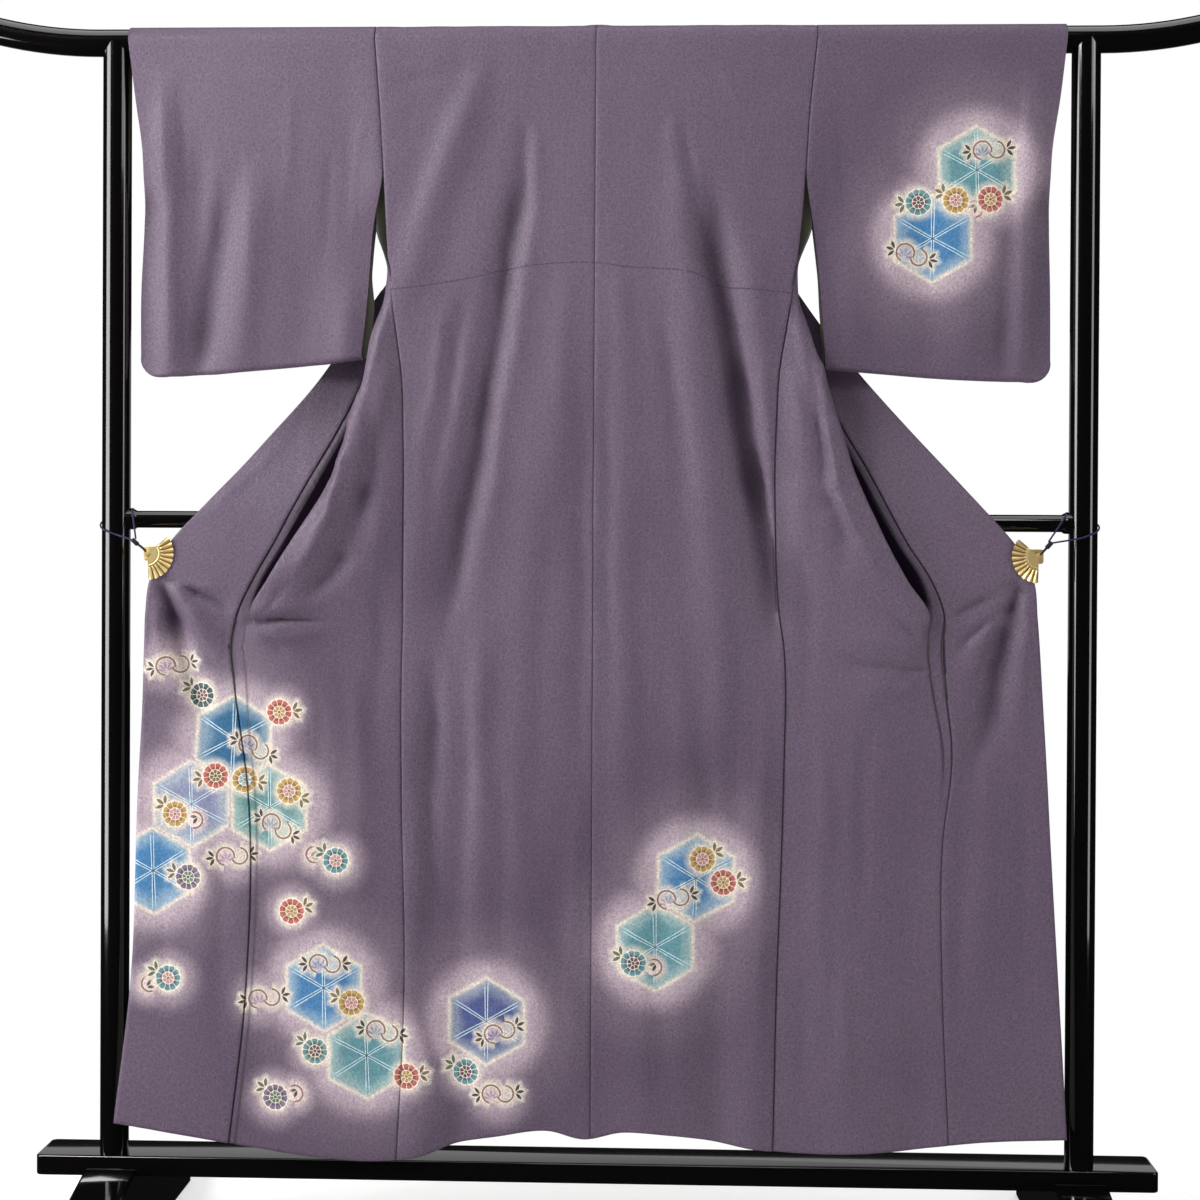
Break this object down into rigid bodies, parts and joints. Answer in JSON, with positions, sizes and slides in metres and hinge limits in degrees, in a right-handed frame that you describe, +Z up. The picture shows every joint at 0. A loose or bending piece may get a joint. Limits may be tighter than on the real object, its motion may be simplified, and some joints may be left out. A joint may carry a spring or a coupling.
{
  "type": "kimono on a kimono rack",
  "caption": "Lined silk kimono hung back outward over a black lacquered rack, its fronts spread by two gilt fan clips, with dyed hexagon and flower motifs.",
  "frame": {"origin": "on the ground, at the middle of the rack's footprint", "axes": "+Z up; +X along the rack's rails; the garment's back faces -Y"},
  "size_m": [1.914, 0.58, 1.77],
  "materials": {
    "silk": "purple grey figured silk, soft sheen, dyed motifs, olive grey lining",
    "black_lacquer": "black lacquer, high gloss",
    "gilt_metal": "gilt, polished",
    "cord": "thin navy twisted cord"
  },
  "bodies": {
    "root": {"back_left": "silk", "back_right": "silk", "base_board": "black_lacquer", "collar_left": "silk", "collar_right": "silk", "cord_left": "cord", "cord_right": "cord", "fan_left": "gilt_metal", "fan_right": "gilt_metal", "foot_left": "black_lacquer", "foot_right": "black_lacquer", "front_left": "silk", "front_right": "silk", "jaw_left": "gilt_metal", "jaw_right": "gilt_metal", "mid_rail": "black_lacquer", "overlap_left": "silk", "overlap_right": "silk", "pin_left": "gilt_metal", "pin_right": "gilt_metal", "post_left": "black_lacquer", "post_right": "black_lacquer", "sleeve_left": "silk", "sleeve_right": "silk", "stem_left": "cord", "stem_right": "cord", "tie_left": "cord", "tie_right": "cord", "top_rail": "black_lacquer"}
  },
  "joints": []
}
